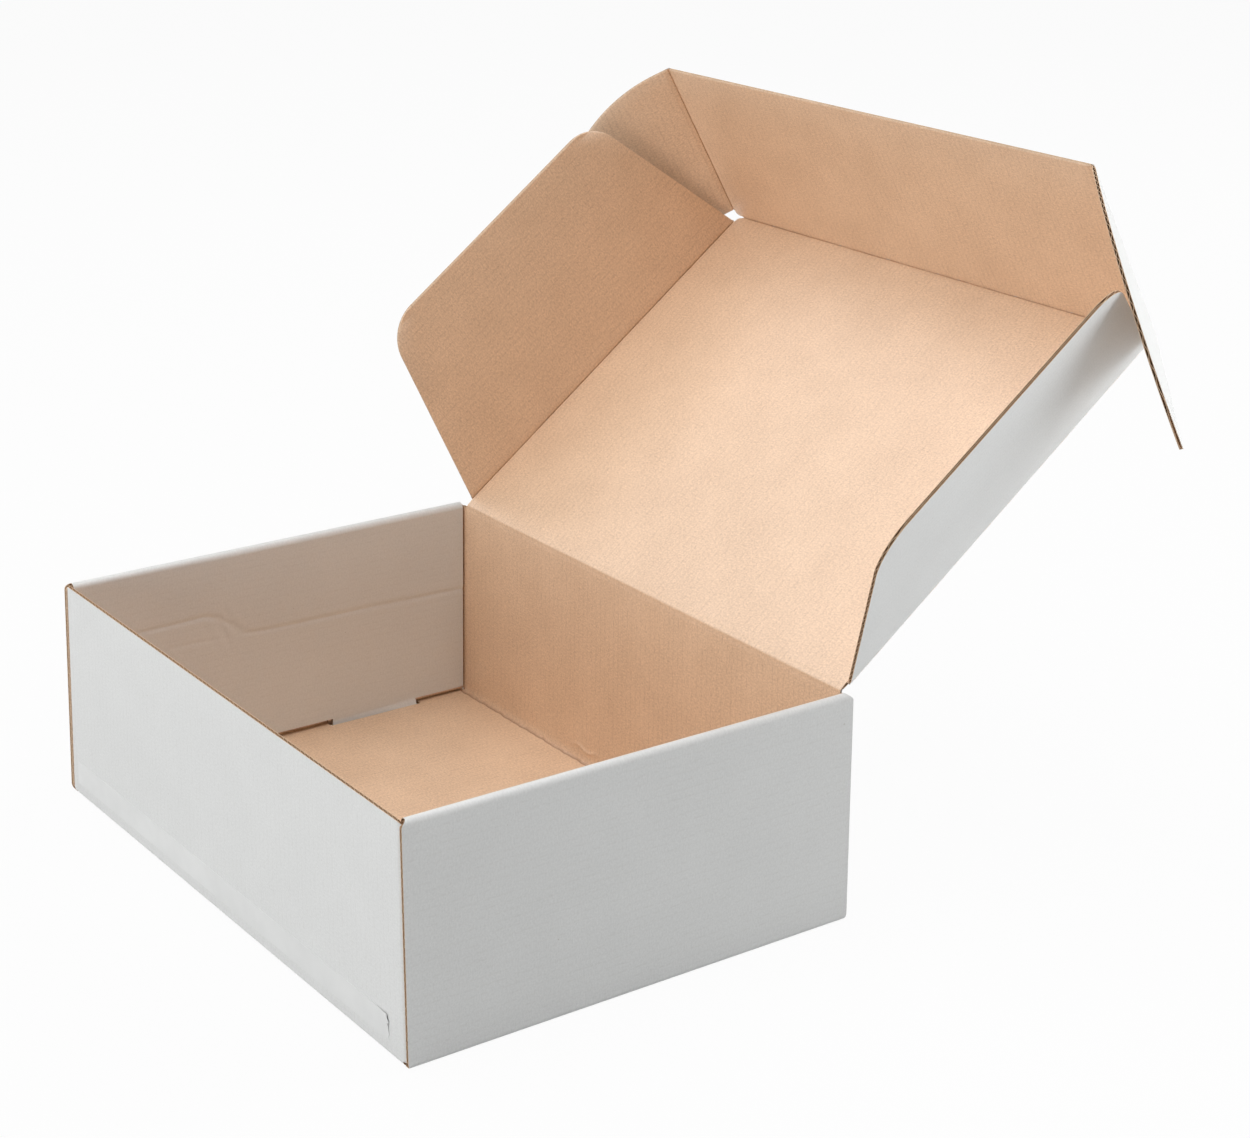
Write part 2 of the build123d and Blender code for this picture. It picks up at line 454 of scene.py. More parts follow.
def board_tree():
    taken = {"Sheet": None, **board_sizes, **board_finishes}
    tree, bench, given, wanted = new_group("GeometryNodeTree", "corrugated board", taken, {"Board": None})

    def attribute(name, kind):
        return bench.add("GeometryNodeInputNamedAttribute", {"Name": name}, data_type=kind)

    def along_inward(length):
        inward = attribute("inward", "FLOAT_VECTOR")
        scaled = {"Vector": inward, "Scale": length}
        return bench.add("ShaderNodeVectorMath", scaled, operation="SCALE")

    def painted(geometry, selection, finish):
        picked = {"Geometry": geometry, "Selection": selection, "Material": finish}
        return bench.add("GeometryNodeSetMaterial", picked)

    def joined(*parts):
        whole = bench.node("GeometryNodeJoinGeometry")
        for part in parts:
            tree.links.new(part, whole.inputs[0])
        return whole.outputs[0]

    def plate(low, high, outer_finish, inner_finish):
        """A closed sheet between two heights over the middle layer."""
        base = bench.add("GeometryNodeSetPosition",
                         {"Geometry": given["Sheet"], "Offset": along_inward(low)})
        grown = bench.node("GeometryNodeExtrudeMesh",
                           {"Mesh": base, "Offset Scale": 0.0, "Individual": False})
        lift = along_inward(bench.math("SUBTRACT", high, low))
        raised = bench.add("GeometryNodeSetPosition",
                           {"Geometry": grown.outputs["Mesh"], "Offset": lift,
                            "Selection": grown.outputs["Top"]})
        raised = painted(raised, grown.outputs["Top"], inner_finish)
        raised = bench.add("GeometryNodeStoreNamedAttribute",
                           {"Geometry": raised, "Name": "cut", "Value": grown.outputs["Side"]},
                           data_type="BOOLEAN", domain="FACE")
        bottom = bench.add("GeometryNodeFlipFaces", {"Mesh": base})
        bottom = painted(bottom, True, outer_finish)
        return bench.add("GeometryNodeMergeByDistance",
                         {"Geometry": joined(raised, bottom), "Distance": weld_distance})

    across = bench.add("ShaderNodeSeparateXYZ", {0: attribute("sheet", "FLOAT_VECTOR")})
    wave = bench.wave(across, given["Pitch"])
    crush = attribute("crush", "FLOAT")
    half = bench.math("MULTIPLY", bench.math("MULTIPLY", given["Thickness"], 0.5), crush)
    dip = bench.math("MULTIPLY", given["Washboard"], crush)

    upper_dip = bench.math("MULTIPLY", dip, bench.ramp(wave, -1.0, 1.0, 1.0, 0.0))
    lower_dip = bench.math("MULTIPLY", dip, bench.ramp(wave, -1.0, 1.0, 0.0, 1.0))
    top = bench.math("SUBTRACT", half, upper_dip)
    bottom = bench.math("SUBTRACT", lower_dip, half)
    upper = bench.math("SUBTRACT", top, given["Liner"])
    lower = bench.math("ADD", bottom, given["Liner"])

    medium_half = bench.math("MULTIPLY", given["Medium"], 0.5)
    swing = bench.math("SUBTRACT", bench.math("SUBTRACT", half, given["Liner"]), medium_half)
    middle = bench.math("MULTIPLY", wave, swing)
    whole = joined(
        plate(bottom, lower, given["White"], given["Fluted"]),
        plate(bench.math("SUBTRACT", middle, medium_half),
              bench.math("ADD", middle, medium_half), given["Fluted"], given["Fluted"]),
        plate(upper, top, given["Fluted"], given["Kraft"]),
    )

    soft = bench.add("GeometryNodeSetShadeSmooth", {"Geometry": whole})
    turn = bench.add("GeometryNodeInputMeshEdgeAngle")
    sharp = bench.math("GREATER_THAN", turn, sharp_angle)
    soft = bench.add("GeometryNodeSetShadeSmooth",
                     {"Geometry": soft, "Selection": sharp, "Shade Smooth": False}, domain="EDGE")
    real = bench.add("GeometryNodeRealizeInstances", {"Geometry": soft})
    bench.join(painted(real, attribute("cut", "BOOLEAN"), given["Cut"]), wanted["Board"])
    return tree


corrugated = board_tree()
print("board tree's ends:", [item.name for item in corrugated.interface.items_tree])

# %% [markdown]
# ## From middle layer to finished panel
# A panel's middle layer is a net of columns across the flutes, six to a flute, and a few rows
# along them. The columns may start and stop at different places, which gives slanted edges and
# round corners, and cells can be left out for slots and tabs. The tree then makes board of it,
# and the result becomes a plain mesh that rides on its body.

# %% Net of columns, and the panel made from it
steps_per_flute = 6
made_triangles = {}


def flute_columns(start, stop, fixed=()):
    """Places across the flutes, with both ends and any fixed place among them."""
    step = flute_pitch / steps_per_flute
    regular = np.arange(math.ceil(start / step), math.floor(stop / step) + 1) * step
    kept = np.array([start, stop, *fixed])
    clear = np.abs(regular[:, None] - kept[None, :]).min(axis=1) > step / 4
    return np.sort(np.concatenate([kept, regular[clear]]))


def row_places(start, stop, spacing, fixed=()):
    """Places along the flutes, about evenly spaced between the fixed ones."""
    marks = np.sort(np.array([start, stop, *fixed]))
    runs = []
    for low, high in zip(marks[:-1], marks[1:]):
        count = max(1, round((high - low) / spacing))
        runs.append(np.linspace(low, high, count + 1)[:-1])
    return np.concatenate([*runs, [stop]])


def stepped_rows(marks, spacings):
    """Places along the flutes, with another spacing after each mark."""
    runs = [row_places(*run)[:-1] for run in zip(marks, marks[1:], spacings)]
    return np.concatenate([*runs, marks[-1:]])


def triple(x, y, z):
    """Points or directions from their three coordinates."""
    return np.stack([x, y, z], axis=-1)


def net_cells(number):
    """The four corners of each cell in a net of numbered points."""
    return np.stack([number[:-1, :-1], number[1:, :-1], number[1:, 1:], number[:-1, 1:]], axis=-1)


def count_triangles(piece):
    piece.data.calc_loop_triangles()
    made_triangles[piece.name] = len(piece.data.loop_triangles)


def set_attribute(mesh, name, kind, values):
    field = "vector" if kind == "FLOAT_VECTOR" else "value"
    made = mesh.attributes.new(name, kind, "POINT")
    made.data.foreach_set(field, np.asarray(values, np.float32).ravel())


def paper_piece(name, points, faces, sheet, finish):
    """Closed piece of one paper, with its place in the blank, smooth up to its sharp edges."""
    mesh = bpy.data.meshes.new(name)
    mesh.from_pydata(points.reshape(-1, 3).tolist(), [], faces)
    set_attribute(mesh, "sheet", "FLOAT_VECTOR", sheet)
    closed = bmesh.new()
    closed.from_mesh(mesh)
    bmesh.ops.recalc_face_normals(closed, faces=closed.faces)
    closed.to_mesh(mesh)
    closed.free()
    mesh.shade_smooth()
    mesh.set_sharp_from_angle(angle=sharp_angle)
    mesh.materials.append(finish)
    piece = add_object(name, mesh)
    count_triangles(piece)
    return piece


def board_piece(name, across, along, place, body, crush=None, bruise=None, gone=None, node=None):
    """Corrugated panel from its columns and rows, folded by place, riding on a body."""
    along = np.broadcast_to(along, (len(across), np.shape(along)[-1]))
    across = np.broadcast_to(np.asarray(across)[:, None], along.shape)
    point, inward = place(across, along)
    cells = net_cells(np.arange(along.size).reshape(along.shape))
    if gone is not None:
        middle_a = (across[:-1, :-1] + across[1:, 1:]) / 2
        middle_b = (along[:-1, :-1] + along[1:, 1:]) / 2
        cells = cells[~gone(middle_a, middle_b)]
    used, cells = np.unique(cells, return_inverse=True)
    cells = cells.reshape(-1, 4)

    mesh = bpy.data.meshes.new(name)
    mesh.from_pydata(point.reshape(-1, 3)[used].tolist(), [], cells.tolist())
    blank = triple(across, along, np.zeros_like(along))
    squeeze = np.ones_like(along) if crush is None else crush(across, along)
    set_attribute(mesh, "inward", "FLOAT_VECTOR", inward.reshape(-1, 3)[used])
    set_attribute(mesh, "sheet", "FLOAT_VECTOR", blank.reshape(-1, 3)[used])
    set_attribute(mesh, "crush", "FLOAT", squeeze.ravel()[used])
    # Painted shade along the back fold's groove, read by the paper shader.
    if bruise is not None:
        set_attribute(mesh, "bruise", "FLOAT", bruise(across, along).ravel()[used])

    piece = add_object(name, mesh)
    modifier = piece.modifiers.new("board", "NODES")
    modifier.node_group = corrugated
    graph = bpy.context.evaluated_depsgraph_get()
    finished = bpy.data.meshes.new_from_object(piece.evaluated_get(graph))
    piece.modifiers.clear()
    piece.data = finished
    bpy.data.meshes.remove(mesh)
    for spare in ("inward", "crush", "cut"):
        finished.attributes.remove(finished.attributes[spare])
    count_triangles(piece)
    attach(piece, body)
    if node:
        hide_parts(node)
    return piece


print("one flute is", round(flute_pitch / mm, 2), "mm, in", steps_per_flute, "steps")

# %% [markdown]
# ## Folding the tray
# The tray's walls are flat runs joined by round folds of a quarter turn. A folded line gives
# the place and the normal at any length along such a section, so a wall, its fold and the
# floor come from one rule. The real tray isn't quite square: its wall tops lean in a little,
# more on the left, and `settle` gives all its pieces that same lean.

# %% Folded line and the tray's lean
left_lean_front = 2.5 * mm
left_lean_back = 1.5 * mm
right_lean = 1.6 * mm
front_lean = 2.0 * mm


def folded_line(start, heading, runs, length):
    """Place and left-hand normal along straight runs that turn left by a quarter between them."""
    corner = np.array(start, float)
    heading = np.array(heading, float)
    place = np.empty(length.shape + (2,))
    normal = np.empty_like(place)
    begin = 0.0
    for turn, run in enumerate(runs):
        left = np.array([-heading[1], heading[0]])
        here = length >= begin if turn else np.ones(length.shape, bool)
        place[here] = corner + (length[here] - begin)[:, None] * heading
        normal[here] = left
        corner = corner + run * heading
        begin += run
        bent = length > begin
        angle = ((length[bent] - begin) / fold_middle)[:, None]
        if turn < len(runs) - 1:
            place[bent] = corner + fold_middle * (np.sin(angle) * heading + (1 - np.cos(angle)) * left)
            normal[bent] = np.cos(angle) * left - np.sin(angle) * heading
            corner = corner + fold_middle * (heading + left)
            begin += quarter_fold
            heading = left
    return place, normal


def settle(point):
    """Lean of the tray's walls, growing with height."""
    x, y, z = np.moveaxis(point, -1, 0)
    right_share = (x + half_width) / (2 * half_width)
    back_share = (y + half_depth) / (2 * half_depth)
    rise_share = z / box_height
    left_lean = left_lean_front + (left_lean_back - left_lean_front) * back_share
    shift_x = rise_share * ((1 - right_share) * left_lean - right_share * right_lean)
    shift_y = rise_share * (1 - right_share) * (1 - back_share) * front_lean
    return triple(x + shift_x, y + shift_y, z)


print("wall tops lean in by up to", round(left_lean_front / mm, 1), "mm")

# %% [markdown]
# ## Front wall, floor and back wall
# These are one strip of the blank, folded up at the front and the back. The strip is cut
# into three pieces where it is flat, so that no seam falls on a fold. The floor has four slots
# at its sides, where the tabs of the inner walls lock in. A fold this tight never bends
# cleanly: the board swells, and a groove and a stray wrinkle run along the back one. They are
# moved points, which catch the light from every side; the groove also gets a painted shade line.

# %% Sizes of the tray
front_drop = 0.8 * mm
front_top = box_height - front_drop
back_top = hinge[2] - crease_room
wall_middle = half_depth - board / 2
front_run = front_top - fold_outside
floor_run = 2 * (half_depth - fold_outside)
back_run = back_top - fold_outside
strip_run = front_run + floor_run + back_run + 2 * quarter_fold
flap_face = half_width - board - ply_gap
inner_middle = flap_face - board - ply_gap - board / 2
outer_middle = half_width - board / 2
floor_half = flap_face - fold_outside
seam_setback = 2.0 * mm
inner_foot_gap = 2.5 * mm
inner_foot = board + inner_foot_gap
tab_foot = 0.3 * mm
tab_place_share = 0.245
tab_middle = tab_place_share * 2 * half_depth
tab_half = 23.0 * mm
slot_gap = 0.25 * mm
slot_end_gap = 2.0 * mm
crush_share = 0.72
crush_width = 2.2 * mm
edge_share = 0.55
edge_width = 0.7 * mm
flare_rise = 3.0 * mm
flare_slope = 0.45
flare_room = 1.7 * mm

groove_setback = 1.0 * mm
groove_wander = 0.35 * mm
groove_width = 0.5 * mm
groove_depth = 0.35 * mm
groove_crush = 0.55
swell_height = 1.0 * mm
swell_width = 1.9 * mm
wrinkle_rise = 5.6 * mm
wrinkle_sway = 0.9 * mm
wrinkle_start = -40 * mm
wrinkle_turn = 15 * mm
wrinkle_height = 0.8 * mm
wrinkle_width = 0.6 * mm
wrinkle_middle = -38 * mm
wrinkle_reach = 9 * mm

front_edge_b = -crease_room - strip_run
front_fold_b = front_edge_b + front_run
floor_front_b = front_fold_b + quarter_fold
floor_back_b = floor_front_b + floor_run
back_fold_b = floor_back_b + quarter_fold
floor_middle_b = (floor_front_b + floor_back_b) / 2
front_seam_b = floor_front_b + seam_setback
back_seam_b = floor_back_b - seam_setback


def smooth(share):
    share = np.clip(share, 0.0, 1.0)
    return share * share * (3 - 2 * share)


def waver(place, *wavelengths):
    """A gentle wander between -1 and 1, the same each time."""
    turns = [np.sin(math.tau * place / length + 2.1 * number)
             for number, length in enumerate(wavelengths, start=1)]
    return sum(turns) / len(turns)


def crushed(distance, along):
    """Share of the board's thickness that is left at a distance from a crease."""
    width = crush_width * (1 + 0.25 * waver(along, 31 * mm, 11.3 * mm, 5.7 * mm))
    return crush_share + (1 - crush_share) * smooth(distance / width)


def bump_line(distance, width):
    """1 on a line, falling to 0 beside it."""
    return np.exp(-(distance / width) ** 2)


def corner_cut(inside):
    """How much a corner rounding takes off at a depth inside its start."""
    return relief - np.sqrt(np.maximum(relief ** 2 - inside ** 2, 0.0))


def groove_line(a, b):
    """1 along the groove at the foot of the back fold, falling to 0 beside it."""
    wander = groove_wander * waver(a, 37 * mm, 13 * mm, 7.3 * mm)
    return bump_line(b - floor_back_b + groove_setback - wander, groove_width)


def back_fold(a, b):
    """The back fold: a swollen facet, a groove at its foot and one stray wrinkle above it."""
    above = b - back_fold_b
    swell = swell_height * bump_line(above + quarter_fold / 2, swell_width)
    curl = wrinkle_rise - wrinkle_sway * np.sin(math.tau * (a - wrinkle_start) / wrinkle_turn)
    wrinkle = wrinkle_height * bump_line(above - curl, wrinkle_width)
    wrinkle = wrinkle * bump_line(a - wrinkle_middle, wrinkle_reach)
    return swell + wrinkle - groove_depth * groove_line(a, b)


def pressed(distance, share):
    """Share of the thickness that the cutting knife left at a distance from a cut edge."""
    return share + (1 - share) * smooth(distance / edge_width)


def strip_place(a, b):
    """The strip of front wall, floor and back wall, folded."""
    runs = (front_run, floor_run, back_run)
    section, normal = folded_line((-wall_middle, front_top), (0, -1), runs, b - front_edge_b)
    section = section + back_fold(a, b)[..., None] * normal
    point = triple(a, section[..., 0], section[..., 1])
    inward = triple(np.zeros_like(a), normal[..., 0], normal[..., 1])
    return settle(point), inward


def in_tab(y, room=0.0):
    """Where a tab, or its slot, lies along the side wall."""
    return np.abs(np.abs(y) - tab_middle) < tab_half + room


def slot_cells(a, b):
    slot_edge = np.where(a < 0, -slot_columns[0], slot_columns[1])
    return (np.abs(a) > slot_edge) & in_tab(b - floor_middle_b, slot_end_gap)


def tab_ends(half):
    """Both ends of both tabs, or of their slots, along the side wall."""
    return [side * (tab_middle + end * half) for side in (-1, 1) for end in (-1, 1)]


def corner_cells(a, b):
    """The ends of the front and back walls, which belong to the corner pieces."""
    return (np.abs(a) > floor_half - seam_setback) & ((b < front_fold_b) | (b > back_fold_b))


# %% Front wall, floor and back wall
fold_row = quarter_fold / 5
slot_ends = tab_ends(tab_half + slot_end_gap)
seam_columns = [side * (floor_half - seam_setback) for side in (-1, 1)]
slot_columns = [flare_room - inner_middle + board / 2, inner_middle - board / 2 - slot_gap]

front_rows = stepped_rows([front_edge_b, front_fold_b, floor_front_b, front_seam_b],
                          [16 * mm, fold_row, seam_setback])
floor_rows = row_places(front_seam_b, back_seam_b, 30 * mm,
                        [floor_middle_b + end for end in slot_ends])
back_rows = stepped_rows([back_seam_b, floor_back_b, back_fold_b, back_fold_b + 3 * mm,
                          back_fold_b + 8 * mm, -crease_room - crush_width, -crease_room],
                         [0.33 * mm, fold_row, 1 * mm, 0.7 * mm, 22 * mm, 0.55 * mm])


def back_crush(a, b):
    return crushed(-crease_room - b, a) * (1 - groove_crush * groove_line(a, b))


board_piece("front_wall", flute_columns(-floor_half, floor_half, seam_columns), front_rows,
            strip_place, "tray", gone=corner_cells, node="tray")
board_piece("tray_floor", flute_columns(-floor_half, floor_half, slot_columns), floor_rows,
            strip_place, "tray", gone=slot_cells)
# The back wall's groove also gets painted shade in its colour.
board_piece("back_wall", flute_columns(-floor_half, floor_half, seam_columns), back_rows,
            strip_place, "tray", crush=back_crush, bruise=groove_line, gone=corner_cells)
print("strip is", round(strip_run / mm, 1), "mm long:", made_triangles)

# %% [markdown]
# ## Corner flaps
# The front and back walls end in flaps that turn round the corners and stand inside the
# rolled side walls. Only the round corner shows, but the flaps are there, because the gap
# under the inner walls lets light fall on them. One rule makes all four by mirroring.

# %% Corner flaps
corner_flap_run = 78.0 * mm - fold_outside
flap_top = box_height - fold_outside - ply_gap


def corner_flap(side, end, name):
    """Corner piece at side -1 (left) or 1, of the front wall (end -1) or the back wall (1)."""
    wall_edge_b = front_edge_b if end < 0 else -crease_room
    wall_top = front_top if end < 0 else back_top
    start = floor_half - seam_setback
    reach = floor_half + quarter_fold + corner_flap_run

    def height(b):
        return wall_top - np.abs(b - wall_edge_b)

    def place(a, b):
        length = np.abs(a) - start
        runs = (seam_setback, corner_flap_run)
        plan, normal = folded_line((start, -wall_middle), (1, 0), runs, length)
        point = triple(side * plan[..., 0], -end * plan[..., 1], height(b))
        inward = triple(side * normal[..., 0], -end * normal[..., 1], np.zeros_like(a))
        return settle(point), inward

    columns = flute_columns(*sorted((side * start, side * reach)), [side * floor_half])
    fall = smooth((np.abs(columns) - floor_half) / quarter_fold)
    top = wall_top + (min(flap_top, wall_top) - wall_top) * fall
    shares = np.linspace(0.0, 1.0, 5)
    heights = top[:, None] + (fold_outside - top[:, None]) * shares
    along = wall_edge_b - end * (wall_top - heights)
    board_piece(name, columns, along if end < 0 else along[:, ::-1], place, "tray")


for side, side_name in ((-1, "left"), (1, "right")):
    for end, end_name in ((-1, "front"), (1, "back")):
        corner_flap(side, end, f"{end_name}_{side_name}_corner_flap")
print("corner flaps:", [name for name in made_triangles if "corner" in name])

# %% [markdown]
# ## Rolled side walls
# A side wall goes up from the floor, rolls over the corner flaps and comes down inside, where
# two tabs lock it into the floor. Here the flutes lie along the folds, so the section is walked
# across them. The board rolls with its white face out, which is why the inside of the side
# walls is white. The left inner wall took a knock: a crease runs across it, with wrinkles where
# it jumps from one flute to another. Its tabs were pushed home by hand and flare into the box.

# %% Section and edges of a rolled wall
side_runs = (half_width - fold_outside - floor_half,
             box_height - 2 * fold_outside,
             outer_middle - inner_middle - 2 * fold_middle,
             box_height - fold_outside - tab_foot)
side_start_a = floor_half
rim_start_a = side_start_a + side_runs[0] + quarter_fold + side_runs[1]
rim_end_a = rim_start_a + 2 * quarter_fold + side_runs[2]
inner_foot_a = rim_end_a + box_height - fold_outside - inner_foot
tab_end_a = rim_end_a + side_runs[3]
slot_edge_a = inner_middle + board / 2 + slot_gap
inner_end_gap = 1.0 * mm
inner_end = half_depth - board - inner_end_gap


def side_section(a):
    """Place and normal of the rolled wall, as on the right side."""
    return folded_line((floor_half, board / 2), (1, 0), side_runs, np.abs(a) - side_start_a)


def wall_end(a):
    """How far the side wall reaches towards the front and the back at each column."""
    height = side_section(a)[0][:, 1]
    from_edge = np.minimum(height, box_height - height)
    outer_end = half_depth - corner_cut(relief - np.minimum(from_edge, relief))
    rolled = smooth((np.abs(a) - rim_start_a) / quarter_fold)
    return outer_end * (1 - rolled) + inner_end * rolled


# %% Knock on the left inner wall
knock_depth = 0.4 * mm
knock_width = 1.0 * mm
knock_wander = 0.5 * mm
knock_shares = {"second": 0.5, "wrinkles": 0.35, "shelf": 0.6}
wrinkle_slant = 0.5
wrinkle_length = 6.5 * mm


def slanted(y, height, middle, slope):
    """Height of a straight line on the wall, from its height and slope at a middle."""
    return height + (y - middle) * slope


def from_place(y, start, length):
    """Soft step from 0 to 1 over a length of the wall."""
    return smooth((y - start) / length)


def knock(y, z):
    """How far the left inner wall is pushed in."""
    high = slanted(y, 70.5 * mm, -58 * mm, 0.03)
    low = slanted(y, 58 * mm, -1 * mm, -0.02)
    line = high + (low - high) * from_place(y, -38 * mm, 24 * mm)
    off = z - line - knock_wander * waver(y, 23 * mm, 9 * mm)
    groove = bump_line(off, knock_width) * from_place(y, -80 * mm, 14 * mm)
    shelf = smooth(off / (9 * mm) + 0.5) * from_place(y, -60 * mm, 40 * mm)
    wrinkles = bump_line(y + 26 * mm, 10 * mm) * bump_line(z - 64 * mm, 8 * mm)
    wrinkles = wrinkles * np.sin(math.tau * (y + wrinkle_slant * z) / wrinkle_length)
    second = bump_line(z - slanted(y, 59.4 * mm, -46 * mm, -0.05), knock_width)
    second = second * bump_line(y + 46 * mm, 13 * mm)
    raised = knock_shares["second"] * second + knock_shares["wrinkles"] * wrinkles
    return knock_depth * (groove + raised - knock_shares["shelf"] * shelf)


def flare(y, z):
    """How far the left tabs bend into the box where they enter their slots."""
    along_tab = np.clip((np.abs(y) - tab_middle) / (2 * tab_half) + 0.5, 0.0, 1.0)
    bend_height = board + flare_rise * along_tab
    return np.where(in_tab(y, weld_distance), flare_slope * np.maximum(bend_height - z, 0.0), 0.0)


# %% Both rolled walls
def rolled_wall(side, name, rows):
    def place(a, b):
        section, normal = side_section(a)
        y = b - floor_middle_b
        x, z = section[..., 0], section[..., 1]
        if side < 0:
            x = x + np.where(np.abs(a) > rim_end_a, knock(y, z) - flare(y, z), 0.0)
        point = triple(side * x, y, z)
        inward = triple(side * normal[..., 0], np.zeros_like(a), normal[..., 1])
        return settle(point), inward

    def gone(a, b):
        y = b - floor_middle_b
        below = (np.abs(a) > inner_foot_a) & ~in_tab(y)
        return below | ((np.abs(a) < slot_edge_a) & in_tab(y, slot_end_gap))

    fixed = [side * slot_edge_a, side * inner_foot_a]
    columns = flute_columns(*sorted((side * side_start_a, side * tab_end_a)), fixed)
    ends = wall_end(columns)[:, None]
    inner_rows = np.broadcast_to(rows[1:-1], (len(columns), len(rows) - 2))
    along = floor_middle_b + np.concatenate([-ends, inner_rows, ends], axis=1)
    board_piece(name, columns, along, place, "tray", gone=gone)


side_marks = sorted([*tab_ends(tab_half), *slot_ends])
plain_rows = row_places(-half_depth, half_depth, 26 * mm, side_marks)
wrinkle_rows = row_places(-44 * mm, -8 * mm, 2.4 * mm)
knocked_rows = row_places(-half_depth, half_depth, 14 * mm, [*side_marks, *wrinkle_rows])
rolled_wall(-1, "left_side_wall", knocked_rows)
rolled_wall(1, "right_side_wall", plain_rows)
print("side walls:", {n: t for n, t in made_triangles.items() if "side_wall" in n})

# %% [markdown]
# ## The lid and its flaps
# The panels of the lid are flat and turn on creases. Each has a corner in the blank, a place
# in the open box, and two directions; the third, towards the brown side, follows from these.
# Their outlines are the die-cut ones: round outer corners, slanted ends on the side flaps and
# one large sweep on each ear. The knife that cut the blank pressed some free edges thin.


# %% Panels of the lid
class Panel:
    """A flat panel of a body: where its corner of the blank lies, and how it is turned."""

    def __init__(self, body, corner, across, along, start, half):
        self.body = body
        self.corner = corner
        self.across = across
        self.along = along
        self.inward = np.cross(across, along)
        self.start = start
        self.half = half

    def place(self, a, b):
        far_a = (a - self.start[0])[..., None] * self.across
        far_b = (b - self.start[1])[..., None] * self.along
        return self.corner + far_a + far_b, np.broadcast_to(self.inward, a.shape + (3,))

    def wing(self, body, side, angle):
        """A panel that is folded up by an angle from a side of this one."""
        turn = math.radians(angle)
        across = math.cos(turn) * self.across + side * math.sin(turn) * self.inward
        start = (side * self.half, self.start[1])
        return Panel(body, crease_place(body + "_crease"), across, self.along, start, self.half)


right = np.array([1.0, 0.0, 0.0])
lid = Panel("lid", hinge, right, crease_direction("right_side_flap_crease"), (0.0, 0.0), lid_half)
tuck = Panel("tuck_flap", tuck_hinge, right, crease_direction("right_ear_crease"),
             (0.0, lid_length), tuck_half)
wings = [(parent.wing(name, side, angle), parent, side) for name, parent, side, angle in (
    ("left_side_flap", lid, -1, 85.0), ("right_side_flap", lid, 1, 58.0),
    ("left_ear", tuck, -1, 62.0), ("right_ear", tuck, 1, 41.0))]
print("lid leans back", round(math.degrees(math.asin(lid.along[2])), 1), "degrees above level")

# %% Lid and tuck flap
lid_edge = lid_half - crease_room
lid_far = lid_length - crease_room
tuck_edge = tuck_half - crease_room
tuck_height = 89.0 * mm
tuck_far = lid_length + tuck_height
crease_end = 4.0 * mm
panel_row = 21.0 * mm
crease_rows = 5
side_crease_stop = lid_length - crease_end


def rounded_off(places, edge):
    """How much a corner rounding takes off at each column near an edge."""
    return corner_cut(np.maximum(np.abs(places) - (edge - relief), 0.0))


def rows_between(low, high, far_crease):
    """Rows from low to high at each column, closer together at a crease or a cut edge."""
    length = np.max(high) - np.min(low)
    near = np.linspace(0, crush_width, crease_rows)
    far_width = crush_width if far_crease else edge_width
    far = np.linspace(length - far_width, length, crease_rows)
    between = row_places(near[-1], far[0], panel_row)[1:-1]
    shares = np.concatenate([near, between, far]) / length
    return low[:, None] + (high - low)[:, None] * shares


def lid_crush(a, b):
    ends = np.minimum(crushed(b - crease_room, a), crushed(lid_far - b, a))
    in_crease = (b > crease_end) & (b < side_crease_stop)
    sides = np.where(in_crease, crushed(lid_edge - np.abs(a), b), 1.0)
    return np.minimum(ends, sides)


def tuck_crush(a, b):
    foot = crushed(b - lid_length - crease_room, a)
    sides = np.where(b > lid_length + crease_end, crushed(tuck_edge - np.abs(a), b), 1.0)
    return np.minimum(np.minimum(foot, sides), pressed(tuck_far - b, edge_share))


lid_columns = flute_columns(-lid_edge, lid_edge)
lid_low = np.full(len(lid_columns), crease_room)
lid_high = lid_far - rounded_off(lid_columns, lid_edge)
board_piece("lid", lid_columns, rows_between(lid_low, lid_high, True), lid.place, "lid",
            crush=lid_crush, node="lid_panel")

tuck_columns = flute_columns(-tuck_edge, tuck_edge)
tuck_low = lid_length + crease_room + rounded_off(tuck_columns, tuck_edge)
tuck_high = np.full(len(tuck_columns), tuck_far)
board_piece("lid_tuck_flap", tuck_columns, rows_between(tuck_low, tuck_high, False),
            tuck.place, "tuck_flap", crush=tuck_crush, node="tuck_flap")
print("lid panels:", {n: t for n, t in made_triangles.items() if "lid" in n})

# %% Side flaps and ears
side_flap_reach = 95.5 * mm
side_flap_near_rise = 21.0 * mm
side_flap_far_fall = 32.0 * mm
side_flap_round = 20.0 * mm
ear_reach = 84.0 * mm
ear_foot_fall = 2.5 * mm
ear_foot_round = 5.0 * mm
ear_sweep_share = 0.855
ear_sweep = ear_sweep_share * tuck_height
fine_step = 0.05 * mm
wing_rows = 12


def slanted_edge(far, reach, slope, radius):
    """Height of an edge that climbs with a slope and turns up in an arc at the panel's reach."""
    slant = math.hypot(1.0, slope)
    centre = reach - radius
    rise = slope * centre + radius * slant
    arc = rise - np.sqrt(np.maximum(radius ** 2 - (far - centre) ** 2, 0.0))
    return np.where(far > centre + radius * slope / slant, arc, slope * far)


